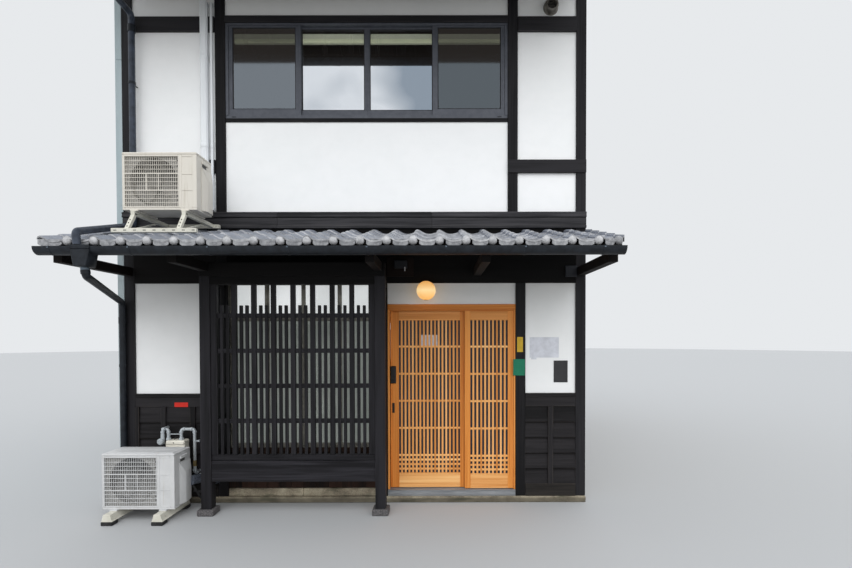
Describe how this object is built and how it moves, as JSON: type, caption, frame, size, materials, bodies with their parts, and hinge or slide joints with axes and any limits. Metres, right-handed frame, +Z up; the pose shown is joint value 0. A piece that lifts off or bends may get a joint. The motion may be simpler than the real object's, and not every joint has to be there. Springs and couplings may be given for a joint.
{
  "type": "timber townhouse",
  "caption": "Narrow two-storey timber townhouse with a lattice bay, sliding entrance door, tiled pent roof over the street front and a tiled gable roof.",
  "frame": {"origin": "on the underside of the ground slab, in line with the outer face of the front posts, midway along the front", "axes": "+Z up, -Y out of the street front, +X to the right seen from the street"},
  "size_m": [4.746, 8.0423, 6.8732],
  "materials": {
    "concrete": "matte",
    "stone": "matte",
    "dark_timber": "satin",
    "plaster": "matte",
    "earth_wall": "matte",
    "window_metal": "satin",
    "bay_window_metal": "satin",
    "threshold_metal": "satin",
    "glass": "gloss",
    "door_wood": "satin",
    "lock_black": "satin",
    "roof_wood": "matte",
    "floor_wood": "matte",
    "roof_tile": "satin",
    "gutter_dark": "satin",
    "unit_white": "satin",
    "stand_cream": "satin",
    "meter_metal": "satin",
    "duct_white": "satin",
    "lamp_glass": "gloss",
    "hood_metal": "matte",
    "cladding_metal": "satin"
  },
  "bodies": {
    "house": {"ground_slab": "concrete", "front_posts": "dark_timber", "storey_beams": "dark_timber", "flashing_boards": "dark_timber", "upper_beams": "dark_timber", "side_cladding": "cladding_metal", "lower_plaster": "plaster", "wainscot": "dark_timber", "upper_plaster": "plaster", "window_frames": "window_metal", "window_glass": "glass", "bay_window_frame": "bay_window_metal", "bay_dado": "roof_wood", "bay_posts": "dark_timber", "bay_stones": "stone", "bay_head": "dark_timber", "bay_sill_boards": "dark_timber", "bay_front_lattice": "dark_timber", "bay_side_lattices": "dark_timber", "door_frame": "door_wood", "door_threshold": "threshold_metal", "fixed_leaf": "door_wood", "fixed_leaf_glass": "glass", "pent_roof_arms": "roof_wood", "pent_roof_rafters": "roof_wood", "pent_roof_boards": "roof_wood", "pent_roof_tiles": "roof_tile", "gutters": "gutter_dark", "downpipes": "gutter_dark", "party_walls": "earth_wall", "back_frame": "dark_timber", "back_panels": "plaster", "upper_floor": "floor_wood", "main_roof_boards": "roof_wood", "main_roof_tiles": "roof_tile", "roof_ridge": "roof_tile", "outdoor_units": "unit_white", "unit_stands": "stand_cream", "gas_meter": "meter_metal", "wall_ducts": "duct_white", "entrance_lamp": "lamp_glass", "vent_hood": "hood_metal"},
    "entrance_door": {"sliding_leaf": "door_wood", "sliding_leaf_glass": "glass", "door_lock": "lock_black"}
  },
  "joints": [
    {"name": "entrance_door_slide", "type": "slide", "parent": "house", "child": "entrance_door", "axis": [1, 0, 0], "range_m": [0, 0.45]}
  ]
}
